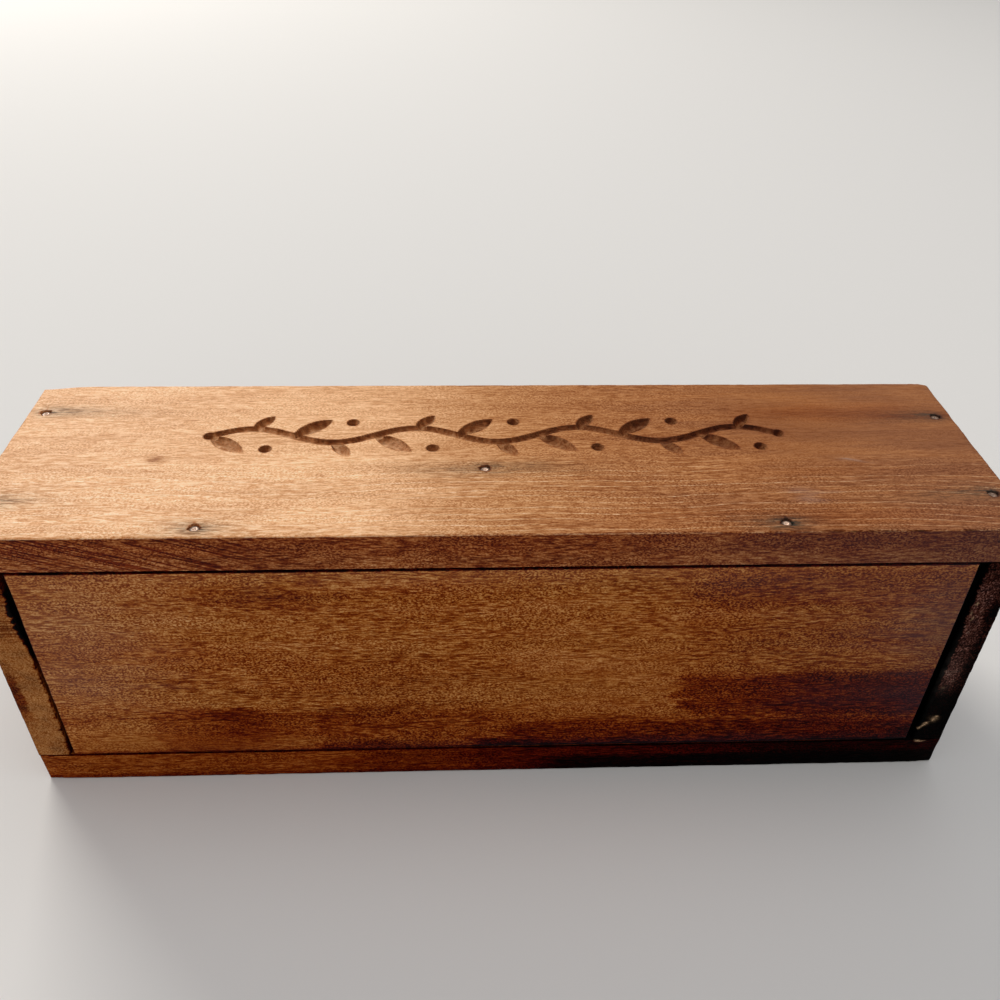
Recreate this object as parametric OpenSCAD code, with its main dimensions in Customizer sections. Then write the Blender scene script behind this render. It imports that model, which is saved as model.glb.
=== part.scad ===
// Recipe card box: six nailed boards, open on one long side.
// It lies on its back board, as when it is put down with the carving up: the carved
// front board is on top, the bottom board faces -Y and the open side faces +Y.
// Turned so that +Y points up it stands on its bottom board, ready to take cards.
// The origin is under the middle of the box.

/* [Box] */
// Outside length of the box, which is the length of its two long boards
box_len = 305; // [260:1:400]
// Outside height of the box standing open side up, the width of its long boards
box_tall = 82; // [70:1:120]
// Room for the cards, from the front board to the back board
card_room = 80; // [70:1:140]
// Radius of the long boards' two corners beside the open side
rim_corner_r = 2.5; // [0.5:0.5:8]

/* [Boards] */
// Thickness of the carved front board
front_t = 12.5; // [9:0.5:20]
// Thickness of the back board
back_t = 12.5; // [9:0.5:20]
// Thickness of the two end boards
end_t = 10; // [8:0.5:20]
// How far the end boards stop short of the long boards' ends
end_inset = 0.4; // [0:0.1:2]
// Thickness of the bottom board
bottom_t = 12.5; // [9:0.5:20]
// Gap between the left end board and the bottom board
bottom_gap_left = 1.8; // [0.2:0.1:4]
// Gap between the bottom board and the right end board
bottom_gap_right = 2.3; // [0.2:0.1:4]
// Seam between the bottom board and each long board
bottom_seam = 0.3; // [0:0.05:0.8]
// Thickness of the divider
divider_t = 10; // [8:0.5:16]
// How far the divider stands to the left of the box's middle
divider_shift = 4.4; // [-20:0.1:20]
// How far the divider stops below the open rim
divider_drop = 2; // [0:0.5:30]

/* [Nails] */
// Length of a nail
nail_len = 38; // [25:1:42]
// Diameter of a nail's shank
nail_shank_d = 1.8; // [1.2:0.1:3]
// Diameter of a nail's head
nail_head_d = 2.9; // [2.2:0.1:4.5]
// Height of a nail's head
nail_head_h = 1.2; // [0.6:0.1:2]
// Height of the taper from the head to the shank
nail_neck_h = 0.8; // [0.4:0.1:1.5]
// Length of a nail's point
nail_point_h = 3; // [1:0.5:5]
// Diameter of the flat at the tip of the point
nail_tip_d = 0.4; // [0.2:0.1:0.8]
// Diameter of the dimple in a nail's head
nail_dimple_d = 1.1; // [0.6:0.1:1.6]
// Depth of the dimple in a nail's head
nail_dimple_h = 0.4; // [0.2:0.1:0.8]
// How deep the heads are set below the wood
nail_set = 0.5; // [0.2:0.1:1.5]
// Room between a nail's shank and its hole, across the hole
nail_fit = 0.1; // [0.05:0.05:0.4]
// Room between a nail's head and the hole that it was punched into, across the hole
nail_punch = 0.7; // [0.2:0.1:1.5]

/* [Nail places] */
// How far the end nails stand inward of the end boards' middle
end_nail_in = 0.1; // [-1:0.1:1]
// Height of the lower end nails above the box's underside
end_nail_low = 17; // [8:0.5:30]
// Distance of the upper left end nails from the open rim
end_nail_high_left = 17; // [8:0.5:30]
// Distance of the upper right end nails from the open rim
end_nail_high_right = 22; // [8:0.5:30]
// Distance of the left bottom nails from the box's left end
bottom_nail_left = 66.5; // [30:0.5:100]
// Distance of the right bottom nails from the box's right end
bottom_nail_right = 71.5; // [30:0.5:100]
// How far the bottom nails stand below the middle of the bottom board's thickness
bottom_nail_down = 1.9; // [-2:0.1:2]
// Height of the divider nails above the bottom board
divider_nail_up = 19.5; // [8:0.5:45]

/* [Carving] */
// Number of bends in the carved vine
vine_bends = 7; // [3:1:8]
// Length of one bend of the vine
vine_pitch = 26; // [22:0.5:30]
// How far the stem swings to each side of the vine's middle line
vine_swing = 4; // [2:0.5:6]
// Height of the vine's middle line above the box's underside
vine_up = 50.5; // [40:0.5:54]
// Width of the stem's groove
stem_w = 3; // [2:0.1:4]
// Depth of the stem's groove
stem_depth = 1.7; // [0.8:0.1:3]
// Length of the long leaves
leaf_len = 15; // [10:0.5:18]
// Width of the long leaves
leaf_w = 5.6; // [3:0.1:8]
// Angle of the long leaves to the vine's middle line, in degrees
leaf_tilt = 38; // [25:1:50]
// Length of the short leaves
bud_len = 9.5; // [6:0.5:12]
// Width of the short leaves
bud_w = 4.2; // [3:0.1:6]
// Angle of the short leaves to the vine's middle line, in degrees
bud_tilt = 52; // [40:1:70]
// Diameter of the round berries
berry_d = 4; // [2.5:0.1:6]
// Distance of the berries from the end of their bend, along the vine
berry_back = 7.5; // [5:0.5:9]
// Depth of the leaves and berries
carve_depth = 2.5; // [1:0.1:4]

/* [Hidden] */
$fn = 48;

// Past a face by this much, a cut leaves no skin
over = 1;
// How much deeper a nail's hole is than its tip
tip_room = 0.5;

// Outer faces of the box
left_x = -box_len / 2;
right_x = box_len / 2;
under_y = -box_tall / 2;
rim_y = box_tall / 2;
inner_front_z = back_t + card_room;
top_z = inner_front_z + front_t;

// Inner faces of the end boards
left_inner_x = left_x + end_inset + end_t;
right_inner_x = right_x - end_inset - end_t;
bottom_x = left_inner_x + bottom_gap_left;
bottom_len = right_inner_x - bottom_gap_right - bottom_x;
bottom_inner_y = under_y + bottom_t;
divider_x = -divider_shift;
divider_tall = rim_y - divider_drop - bottom_inner_y;

// Where the nails stand on the long boards, as [x, y]
left_nail_x = left_x + end_inset + end_t / 2 + end_nail_in;
right_nail_x = right_x - end_inset - end_t / 2 - end_nail_in;
low_nail_y = under_y + end_nail_low;
left_nails = [[left_nail_x, low_nail_y], [left_nail_x, rim_y - end_nail_high_left]];
right_nails = [[right_nail_x, low_nail_y], [right_nail_x, rim_y - end_nail_high_right]];
bottom_nail_y = under_y + bottom_t / 2 - bottom_nail_down;
bottom_nails = [[left_x + bottom_nail_left, bottom_nail_y],
                [right_x - bottom_nail_right, bottom_nail_y]];
divider_nails = [[divider_x, bottom_inner_y + divider_nail_up]];
all_nails = concat(left_nails, right_nails, bottom_nails, divider_nails);

// The stem is a sine wave, half a wave to each bend, worked out in equal steps
vine_y = under_y + vine_up;
half_pitch = vine_pitch / 2;
bend_steps = 10;
stem_steps = vine_bends * bend_steps;
function stem_x(i) = i * vine_pitch / bend_steps;
function stem_y(i) = vine_swing * sin(180 * i / bend_steps);
function stem_slope(i) = vine_swing * PI / vine_pitch * cos(180 * i / bend_steps);

// A point of the stem's left (side = 1) or right (side = -1) wall, square to its middle line
function stem_side(i, side) =
    let (reach = side * stem_w / 2 / sqrt(1 + stem_slope(i) * stem_slope(i)))
    [stem_x(i) - reach * stem_slope(i), stem_y(i) + reach];

// A long board lying flat, its underside at z = 0, with rounded corners at the rim
module long_board(thick) {
    translate([left_x, under_y, 0])
        cube([box_len, box_tall - rim_corner_r, thick]);
    translate([left_x + rim_corner_r, under_y, 0])
        cube([box_len - 2 * rim_corner_r, box_tall, thick]);
    for (x = [left_x + rim_corner_r, right_x - rim_corner_r])
        translate([x, rim_y - rim_corner_r, 0])
            cylinder(h = thick, r = rim_corner_r);
}

// A finishing nail, point down, the top of its head at z = 0
module nail() {
    rotate_extrude()
        polygon([[0, -nail_dimple_h],
                 [nail_dimple_d / 2, 0],
                 [nail_head_d / 2, 0],
                 [nail_head_d / 2, -nail_head_h],
                 [nail_shank_d / 2, -nail_head_h - nail_neck_h],
                 [nail_shank_d / 2, nail_point_h - nail_len],
                 [nail_tip_d / 2, -nail_len],
                 [0, -nail_len]]);
}

// The hole that a nail makes, its mouth past the wood's surface at z = nail_set
module nail_hole() {
    translate([0, 0, -nail_head_h - nail_neck_h])
        cylinder(h = nail_head_h + nail_neck_h + nail_set + over, d = nail_head_d + nail_punch);
    translate([0, 0, -nail_len - tip_room])
        cylinder(h = nail_len + tip_room, d = nail_shank_d + nail_fit);
}

// Its children at each place, as driven down through the front board
module at_front(places) {
    for (p = places)
        translate([p[0], p[1], top_z - nail_set])
            children();
}

// Its children at each place, as driven up through the back board
module at_back(places) {
    for (p = places)
        translate([p[0], p[1], nail_set])
            mirror([0, 0, 1])
                children();
}

// Cuts the nail holes at the given places out of a board
module nailed(front_places, back_places) {
    difference() {
        children();
        at_front(front_places) nail_hole();
        at_back(back_places) nail_hole();
    }
}

// A leaf's pocket, its base at the origin and its tip along +X, its mouth above z = 0
module leaf(long, wide) {
    side_r = (long * long / 4 + wide * wide / 4) / wide;
    intersection_for (side = [-1, 1])
        translate([long / 2, side * (side_r - wide / 2), -carve_depth])
            cylinder(h = carve_depth + over, r = side_r);
}

// A berry's round pocket, its mouth above z = 0
module berry() {
    translate([0, 0, -carve_depth])
        cylinder(h = carve_depth + over, d = berry_d);
}

// The leaves and the berry of one bend from x = 0, whose stem rises to +Y
module vine_bend() {
    rotate([0, 0, -leaf_tilt])
        leaf(leaf_len, leaf_w);
    translate([half_pitch, vine_swing, 0])
        rotate([0, 0, bud_tilt])
            leaf(bud_len, bud_w);
    translate([vine_pitch - berry_back, -berry_back, 0])
        berry();
}

// The stem's groove, from x = 0 along the vine's middle line, its mouth above z = 0
module stem() {
    translate([0, 0, -stem_depth])
        linear_extrude(height = stem_depth + over)
            polygon(concat([for (i = [0 : stem_steps]) stem_side(i, 1)],
                           [for (i = [stem_steps : -1 : 0]) stem_side(i, -1)]));
}

// The carved vine, cut into a face at z = 0 and centred on the board's length
module vine() {
    translate([-vine_bends * half_pitch, vine_y, 0]) {
        stem();
        for (bend = [0 : vine_bends - 1])
            translate([bend * vine_pitch, 0, 0])
                mirror([0, bend % 2, 0])
                    vine_bend();
        for (end = [0, vine_bends])
            translate([end * vine_pitch, 0, 0])
                berry();
    }
}

module front_board() {
    color("peru")
        difference() {
            nailed(all_nails, [])
                translate([0, 0, inner_front_z])
                    long_board(front_t);
            translate([0, 0, top_z])
                vine();
        }
}

module back_board() {
    color("saddlebrown")
        nailed([], all_nails)
            long_board(back_t);
}

module left_end() {
    color("sienna")
        nailed(left_nails, left_nails)
            translate([left_x + end_inset, under_y, back_t])
                cube([end_t, box_tall, card_room]);
}

module right_end() {
    color("sienna")
        nailed(right_nails, right_nails)
            translate([right_inner_x, under_y, back_t])
                cube([end_t, box_tall, card_room]);
}

module bottom_board() {
    color("chocolate")
        nailed(bottom_nails, bottom_nails)
            translate([bottom_x, under_y, back_t + bottom_seam])
                cube([bottom_len, bottom_t, card_room - 2 * bottom_seam]);
}

module divider() {
    color("burlywood")
        nailed(divider_nails, divider_nails)
            translate([divider_x - divider_t / 2, bottom_inner_y, back_t])
                cube([divider_t, divider_tall, card_room]);
}

module front_end_nails() {
    color("silver") at_front(concat(left_nails, right_nails)) nail();
}

module front_bottom_nails() {
    color("silver") at_front(bottom_nails) nail();
}

module front_divider_nail() {
    color("silver") at_front(divider_nails) nail();
}

module back_end_nails() {
    color("silver") at_back(concat(left_nails, right_nails)) nail();
}

module back_bottom_nails() {
    color("silver") at_back(bottom_nails) nail();
}

module back_divider_nail() {
    color("silver") at_back(divider_nails) nail();
}

front_board();
back_board();
left_end();
right_end();
bottom_board();
divider();
front_end_nails();
front_bottom_nails();
front_divider_nail();
back_end_nails();
back_bottom_nails();
back_divider_nail();
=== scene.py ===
# %% [markdown]
# A nailed wooden box for recipe cards, lying on its back board.
#
# The real box is six stained boards and fourteen finishing nails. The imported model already
# says how big each board is and where it lies, so this notebook starts from it and never
# moves it. Each board is then made again as one surface with eased edges, torn nail holes
# and routed carving, because plain cuboids have none of these, and they are what the eye
# takes for wood.

import math
from types import SimpleNamespace

import bpy
import numpy as np
from mathutils import Matrix, Vector


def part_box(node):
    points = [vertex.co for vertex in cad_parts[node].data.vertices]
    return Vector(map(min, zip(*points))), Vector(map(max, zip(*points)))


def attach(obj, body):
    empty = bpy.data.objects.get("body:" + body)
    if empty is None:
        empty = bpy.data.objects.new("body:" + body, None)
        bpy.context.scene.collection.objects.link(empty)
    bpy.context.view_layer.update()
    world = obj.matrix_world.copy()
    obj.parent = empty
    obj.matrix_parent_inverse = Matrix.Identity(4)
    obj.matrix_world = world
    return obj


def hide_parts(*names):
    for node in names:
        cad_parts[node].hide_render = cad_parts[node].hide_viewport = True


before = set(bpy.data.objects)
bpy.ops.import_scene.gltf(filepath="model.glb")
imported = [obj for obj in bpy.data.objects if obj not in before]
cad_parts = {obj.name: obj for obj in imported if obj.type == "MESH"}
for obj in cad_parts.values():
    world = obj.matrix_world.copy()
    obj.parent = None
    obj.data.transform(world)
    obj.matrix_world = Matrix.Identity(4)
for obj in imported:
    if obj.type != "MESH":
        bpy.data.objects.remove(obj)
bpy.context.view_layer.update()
MM = 0.001
print("boards and nails:", ", ".join(sorted(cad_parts)))

# %% [markdown]
# The camera stands where the photograph was taken from: a little above the box, close to
# it, looking down by about 37 degrees. Its lens and place come from matching the straight
# edges of a 305 by 82 by 105 mm box to the photograph. A camera looks along its own -Z, so
# it is first stood up by 90 degrees less the pitch, then turned and rolled.

# %% The camera
CAMERA_PLACE = (-11.5 * MM, -244.4 * MM, 271.4 * MM)
CAMERA_LENS = 34.05
CAMERA_YAW, CAMERA_PITCH, CAMERA_ROLL = (math.radians(a) for a in (-2.89, 37.16, -1.275))

camera = bpy.data.objects.new("camera", bpy.data.cameras.new("camera"))
bpy.context.scene.collection.objects.link(camera)
camera.data.sensor_width = 36
camera.data.lens = CAMERA_LENS
camera.data.clip_start = 10 * MM
camera.matrix_world = (
    Matrix.Translation(CAMERA_PLACE)
    @ Matrix.Rotation(CAMERA_YAW, 4, "Z")
    @ Matrix.Rotation(math.pi / 2 - CAMERA_PITCH, 4, "X")
    @ Matrix.Rotation(-CAMERA_ROLL, 4, "Z")
)
bpy.context.scene.camera = camera
print("camera height above the floor, mm:", round(CAMERA_PLACE[2] / MM))

# %% [markdown]
# Light in the studio is a pale sky all round and three broad lamps. The largest stands behind
# the box on the left, low enough to lay a soft sheen over that end of the carved board. One
# hangs overhead, and a weak one in front keeps the shaded face readable. Together they are
# set so that a surface facing up renders about as bright as its colour is written: a lamp of
# P watts at a distance d gives P cos(angle) / (10 d^2) of that.

# %% The floor, the lamps and the sky
FLOOR_HALF = 4.0
FLOOR_COLOUR = (0.76, 0.745, 0.72, 1)
BOX_MIDDLE = (0, 0, 0.05)
LAMPS = {
    "lamp_back_left": ((-1.35, 2.25, 1.70), 1.5, 62.0, (1.0, 0.96, 0.90)),
    "lamp_overhead": ((0.20, 0.10, 2.4), 2.2, 21.0, (0.98, 0.98, 1.0)),
    "lamp_front": ((0.30, -1.9, 1.1), 1.6, 9.0, (1.0, 0.97, 0.93)),
}
SKY_COLOUR, SKY_STRENGTH = (0.94, 0.96, 1.0, 1), 0.25

floor_mesh = bpy.data.meshes.new("floor")
corners = [(-1, -1), (1, -1), (1, 1), (-1, 1)]
floor_mesh.from_pydata([(a * FLOOR_HALF, b * FLOOR_HALF, 0) for a, b in corners], [], [(0, 1, 2, 3)])
floor = bpy.data.objects.new("floor", floor_mesh)
bpy.context.scene.collection.objects.link(floor)
floor_paint = bpy.data.materials.new("floor_paint")
floor_paint.use_nodes = True
paint_shader = floor_paint.node_tree.nodes["Principled BSDF"]
paint_shader.inputs["Base Color"].default_value = FLOOR_COLOUR
paint_shader.inputs["Roughness"].default_value = 0.9
paint_shader.inputs["Specular IOR Level"].default_value = 0.1
floor_mesh.materials.append(floor_paint)

for lamp_name, (place, width, power, colour) in LAMPS.items():
    light = bpy.data.lights.new(lamp_name, "AREA")
    light.size, light.energy, light.color = width, power, colour
    stand = bpy.data.objects.new(lamp_name, light)
    bpy.context.scene.collection.objects.link(stand)
    stand.location = place
    stand.rotation_euler = (Vector(BOX_MIDDLE) - Vector(place)).to_track_quat("-Z", "Y").to_euler()

world = bpy.data.worlds.new("sky")
bpy.context.scene.world = world
world.use_nodes = True
world.node_tree.nodes["Background"].inputs["Color"].default_value = SKY_COLOUR
world.node_tree.nodes["Background"].inputs["Strength"].default_value = SKY_STRENGTH
bpy.context.scene.view_settings.view_transform = "Standard"
print("lamps:", len(LAMPS))

# %% [markdown]
# Nothing on old wood is quite straight, so the shapes need smooth noise that is the same on
# every run. One coordinate uses random knots at an even spacing with an eased blend between
# neighbours. Two coordinates use a square table of knots in the same way.

# %% Smooth noise
KNOTS = 4096
TABLE = 512


def drift(place, spacing, seed):
    """Noise of one coordinate from -1 to 1: knots every spacing mm, eased by 3f^2 - 2f^3."""
    knots = np.random.default_rng(seed).uniform(-1, 1, KNOTS)
    steps = np.asarray(place, float) / (spacing * MM) + KNOTS / 2
    whole = np.floor(steps).astype(int)
    part = steps - whole
    part = part * part * (3 - 2 * part)
    return knots[whole % KNOTS] * (1 - part) + knots[(whole + 1) % KNOTS] * part


def clouds(a, b, spacing_a, spacing_b, seed):
    """Noise of two coordinates from -1 to 1: a table of knots, spaced in mm, eased along both."""
    knots = np.random.default_rng(seed).uniform(-1, 1, (TABLE, TABLE))
    row, column = a / (spacing_a * MM) + TABLE / 2, b / (spacing_b * MM) + TABLE / 2
    i, j = np.floor(row).astype(int), np.floor(column).astype(int)
    f, g = row - i, column - j
    f, g = f * f * (3 - 2 * f), g * g * (3 - 2 * g)
    near = knots[i % TABLE, j % TABLE] * (1 - g) + knots[i % TABLE, (j + 1) % TABLE] * g
    far = knots[(i + 1) % TABLE, j % TABLE] * (1 - g) + knots[(i + 1) % TABLE, (j + 1) % TABLE] * g
    return near * (1 - f) + far * f


def ease_in(value, low, high):
    """0 below low, 1 above high and a smooth s between, 3t^2 - 2t^3."""
    t = np.clip((value - low) / (high - low), 0, 1)
    return t * t * (3 - 2 * t)


def rise(place, low, high):
    """The same s for a place in metres, between two ends in millimetres."""
    return ease_in(place, low * MM, high * MM)


def bell(away, half):
    """1 in the middle, falling off on both sides as exp(-(away / half)^2)."""
    return np.exp(-((away / half) ** 2))


def hump(place, middle, half):
    """A bell for a place in metres, its middle and half width in millimetres."""
    return bell(place - middle * MM, half * MM)


def span(value, start, full, fading, gone):
    """0 outside and 1 inside: it rises from start to full and falls from fading to gone."""
    return ease_in(value, start, full) * ease_in(-value, -gone, -fading)


print("noise repeats:", bool(drift(0.1, 10, 7) == drift(0.1, 10, 7)))

# %% [markdown]
# A sawn board is a rounded rectangle carried along a straight line. The section is a closed
# loop of points with the normal at each, and near both ends every point moves inward along
# its normal by a quarter circle, which eases the end edges too. The samples on each side of
# the section are free, so the carved face gets many and the hidden ones few. Each end is
# closed by one flat many-sided face.
#
# A point is on a flat side when its normal is FLAT or more along one axis. It faces a side
# when it leans that way by more than LEANING, and ARRIS picks out the eased edges. The
# three parts of the normals are called to_x, to_y and to_z.

# %% The section of a board
EASE_POINTS = 4
EDGE_EASE = 0.5 * MM
END_DRAW = 0.8
FLAT, LEANING, ARRIS = 0.999, 0.3, 0.2
CLOSEST = 0.08 * MM
SHARP_ANGLE = math.radians(50)


def spaced(low, high, step):
    """Evenly spaced places from low to high, no further apart than step."""
    return np.linspace(low, high, int(math.ceil((high - low) / step)) + 1)


def graded(low, high, step, zones):
    """Places from low to high that are step apart, but closer inside the zones.

    A zone is (its low end, its high end, its own step). Where zones meet, the closest wins.
    """
    places = spaced(low, high, step)
    for zone_low, zone_high, zone_step in sorted(zones, key=lambda z: -z[2]):
        start, stop = max(zone_low, low), min(zone_high, high)
        outside = (places < start - zone_step / 2) | (places > stop + zone_step / 2)
        places = np.concatenate([places[outside], spaced(start, stop, zone_step)])
    places = np.unique(np.concatenate([places, [low, high]]))
    keep = np.concatenate([[True], np.diff(places) > CLOSEST])
    keep[-1] = True
    return places[keep]


def section(low, high, under, over, sides):
    """Points and normals round a rounded rectangle, anticlockwise from its lower left.

    low and high are the rectangle's corners (a, b). under and over are the places along a
    on the two sides that run along a, and sides the places along b on the other two.
    """
    turn = np.linspace(0, math.pi / 2, EASE_POINTS + 2)[1:-1]

    def corner(a, b, start):
        """A quarter circle of points round a centre, its two end points left out."""
        out = np.stack([np.cos(start + turn), np.sin(start + turn)], 1)
        return np.array([a, b]) + EDGE_EASE * out, out

    def side(a, b, normal):
        """A straight run of points with one normal."""
        run = np.stack(np.broadcast_arrays(a, b), 1).astype(float)
        return run, np.broadcast_to(np.array(normal, float), run.shape)

    quarter = math.pi / 2
    (left, lower), (right, upper) = low + EDGE_EASE, high - EDGE_EASE
    parts = [
        side(under, low[1], (0, -1)), corner(right, lower, -quarter),
        side(high[0], sides, (1, 0)), corner(right, upper, 0),
        side(over[::-1], high[1], (0, 1)), corner(left, upper, quarter),
        side(low[0], sides[::-1], (-1, 0)), corner(left, lower, 2 * quarter),
    ]
    return np.concatenate([p for p, n in parts]), np.concatenate([n for p, n in parts])


print("edges are eased by, mm:", EDGE_EASE / MM)

# %% The section carried along the board


def carried(points, normals, low, high, along):
    """The section's points at every place along, with its ends drawn in by a quarter circle.

    At a turn of t it is drawn in by END_DRAW * ease * (1 - sin t), ease * (1 - cos t) from
    the end. Returns points and normals, each [place, point of the section, (a, b, c)].
    """
    turn = np.linspace(0, math.pi / 2, EASE_POINTS + 2)
    draw = END_DRAW * EDGE_EASE * (1 - np.sin(turn))
    reach = EDGE_EASE * (1 - np.cos(turn))
    c = np.concatenate([low + reach[:-1], along, (high - reach[:-1])[::-1]])
    inward = np.concatenate([draw[:-1], np.zeros(len(along)), draw[:-1][::-1]])
    lean = np.sqrt(1 - (1 - inward / EDGE_EASE) ** 2) * np.where(c > (low + high) / 2, 1, -1)
    flat = points[None] - normals[None] * inward[:, None, None]
    place = np.dstack([flat, np.broadcast_to(c[:, None], flat.shape[:2])])
    upright = normals[None] * np.sqrt(1 - lean**2)[:, None, None]
    facing = np.dstack([upright, np.broadcast_to(lean[:, None], flat.shape[:2])])
    return place, facing


def closed_faces(rows, columns):
    """Quads over a grid whose columns close on themselves, and one face over each end."""
    index = np.arange(rows * columns).reshape(rows, columns)
    turned = np.roll(index, -1, axis=1)
    quads = np.stack([index[:-1], turned[:-1], turned[1:], index[1:]], -1).reshape(-1, 4)
    return quads.tolist() + [index[0, ::-1].tolist(), index[-1].tolist()]


print("faces of a cuboid:", len(closed_faces(2, 4)))

# %% A board as one closed surface


def mesh_object(name, points, faces, marks):
    """A mesh object from points, faces and named values per point, smooth but for sharp edges."""
    mesh = bpy.data.meshes.new(name)
    mesh.from_pydata(points.tolist(), [], faces)
    for mark, values in marks.items():
        layer = mesh.attributes.new(mark, "FLOAT", "POINT")
        layer.data.foreach_set("value", np.asarray(values, np.float32))
    mesh.shade_smooth()
    mesh.set_sharp_from_angle(angle=SHARP_ANGLE)
    made = bpy.data.objects.new(name, mesh)
    bpy.context.scene.collection.objects.link(made)
    return made


def corners_of(node):
    """The lowest and the highest corner of a CAD node, in metres."""
    return [np.array(corner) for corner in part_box(node)]


def stand_for(made, node, finish):
    """Gives a new piece its finish and lets it take the place of a CAD node."""
    made.data.materials.append(finish)
    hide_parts(node)
    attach(made, "root")


def board(node, name, finish, run, shape, under, over, sides, along):
    """A board that stands for a CAD node.

    run is the axis that the section is carried along, x or z. shape takes all the points
    and normals in metres and gives the points back as worn or carved, and the marks. The
    last four say how the places on each side are spaced: a step, then zones as for graded.
    """
    order = {"x": [1, 2, 0], "z": [0, 1, 2]}[run]
    low, high = (corner[order] for corner in corners_of(node))
    *places, along = (
        graded(low[axis] + EDGE_EASE, high[axis] - EDGE_EASE, step, zones)
        for axis, (step, *zones) in ((0, under), (0, over), (1, sides), (2, along))
    )
    ring, ring_normals = section(low[:2], high[:2], *places)
    points, normals = carried(ring, ring_normals, low[2], high[2], along)
    rows, columns = points.shape[:2]
    back = np.argsort(order)
    points, marks = shape(points.reshape(-1, 3)[:, back], normals.reshape(-1, 3)[:, back])
    made = mesh_object(name, points, closed_faces(rows, columns), vars(marks))
    stand_for(made, node, finish)
    print(f"{name}: {rows} by {columns} points")


# %% [markdown]
# Edges that have been handled are not even. A chip moves an edge inward along its own
# normal, and only where two sides meet, which the product of the normal's two parts shows:
# it is zero on a flat side and greatest half way round the eased corner.

# %% Wear along edges


def edge_share(normals):
    """0 on a flat side, 1 in the middle of an eased edge, for each point."""
    parts = np.sort(np.abs(normals), 1)
    return np.clip(2 * parts[:, 2] * parts[:, 1], 0, 1)


def chipped(points, normals, depth, spacing, seed):
    """Points with their edges worn inward by up to depth mm, in dents about spacing mm long."""
    run = points.sum(1)
    side = np.sign(normals) @ np.array([1.0, 2.0, 4.0])
    dents = np.clip(drift(run + side * 0.37, spacing, seed) - 0.1, 0, 1)
    fine = np.clip(drift(run + side * 0.91, spacing / 4, seed + 1), 0, 1)
    inward = depth * MM * edge_share(normals) * (dents + 0.35 * fine)
    return points - normals * inward[:, None]


print("edge share half way round a corner:", edge_share(np.sqrt([[0.5, 0.5, 0]])).round(2)[0])

# %% [markdown]
# A vine is routed into the front board, with strokes of about 3 mm and a dark floor: a sine
# wave for the stem, a long leaf and a berry in each of its hollows, and a short leaf on each
# crest. It could be cut out with a Boolean modifier, which leaves hard walls and thin
# triangles. Here the points of the face move down instead, so the walls curve and the grid
# stays whole. Every form is first a distance to its own outline, positive inside. One rule
# turns distance into depth, so crossing grooves join.

# %% The vine's outlines as distances
VINE_BENDS = 7
VINE_PITCH = 26 * MM
VINE_SWING = 4 * MM
VINE_UP = 50.5 * MM
STEM_WIDTH = 3 * MM
STEM_DEPTH = 1.7 * MM
LEAF_LONG, LEAF_WIDE, LEAF_TILT = 15 * MM, 5.6 * MM, math.radians(38)
BUD_LONG, BUD_WIDE, BUD_TILT = 9.5 * MM, 4.2 * MM, math.radians(52)
BERRY_WIDE = 4 * MM
BERRY_BACK = 7.5 * MM
CARVE_DEPTH = 2.5 * MM
VEIN_HALF, VEIN_DEPTH = 0.4 * MM, 0.7 * MM

front_low, front_high = corners_of("front_board")
vine_start = -VINE_BENDS * VINE_PITCH / 2
vine_middle = front_low[1] + VINE_UP


def stem_distance(x, y):
    """Inside the stem, half its width less the distance to the sine wave, square to it."""
    wave = math.pi * np.clip(x, 0, VINE_BENDS * VINE_PITCH) / VINE_PITCH
    slope = VINE_SWING * math.pi / VINE_PITCH * np.cos(wave)
    off = np.abs(y - VINE_SWING * np.sin(wave)) / np.sqrt(1 + slope**2)
    past = np.maximum(np.maximum(-x, x - VINE_BENDS * VINE_PITCH), 0)
    return STEM_WIDTH / 2 - np.hypot(off, past)


def leaf_distance(x, y, base, tilt, long, wide):
    """Inside a leaf, which is where two equal circles overlap: the nearer circle's margin.

    Returns the distance, and where the point lies along the leaf and across it.
    """
    radius = (long**2 / 4 + wide**2 / 4) / wide
    p = (x - base[0]) * math.cos(tilt) + (y - base[1]) * math.sin(tilt)
    q = (y - base[1]) * math.cos(tilt) - (x - base[0]) * math.sin(tilt)
    centre = radius - wide / 2
    far = np.maximum(np.hypot(p - long / 2, q - centre), np.hypot(p - long / 2, q + centre))
    return radius - far, p, q


def vine_forms(x, y):
    """The distance to each kind of form at each point, and how near a leaf's vein it is."""
    x, y = x - vine_start, y - vine_middle
    leaf, berry, vein = np.full(x.shape, -1.0), np.full(x.shape, -1.0), np.zeros(x.shape)
    for bend in range(VINE_BENDS):
        up = 1 if bend % 2 == 0 else -1
        start = bend * VINE_PITCH
        stalks = [
            ((start, 0), -LEAF_TILT * up, LEAF_LONG, LEAF_WIDE),
            ((start + VINE_PITCH / 2, VINE_SWING * up), BUD_TILT * up, BUD_LONG, BUD_WIDE),
        ]
        for base, tilt, long, wide in stalks:
            inside, p, q = leaf_distance(x, y, base, tilt, long, wide)
            leaf = np.maximum(leaf, inside)
            length_share = span(p, 0.15 * long, 0.4 * long, 0.6 * long, 0.9 * long)
            vein = np.maximum(vein, bell(q, VEIN_HALF) * length_share * (inside > 0))
        round_off = np.hypot(x - start - VINE_PITCH + BERRY_BACK, y + BERRY_BACK * up)
        berry = np.maximum(berry, BERRY_WIDE / 2 - round_off)
    for end in (0, VINE_BENDS * VINE_PITCH):
        berry = np.maximum(berry, BERRY_WIDE / 2 - np.hypot(x - end, y))
    return stem_distance(x, y), leaf, berry, vein


def vine_edge(x, y):
    """The distance to the outline of the whole vine, positive inside."""
    stem, leaf, berry, _ = vine_forms(x, y)
    return np.maximum(np.maximum(stem, leaf), berry)


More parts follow.
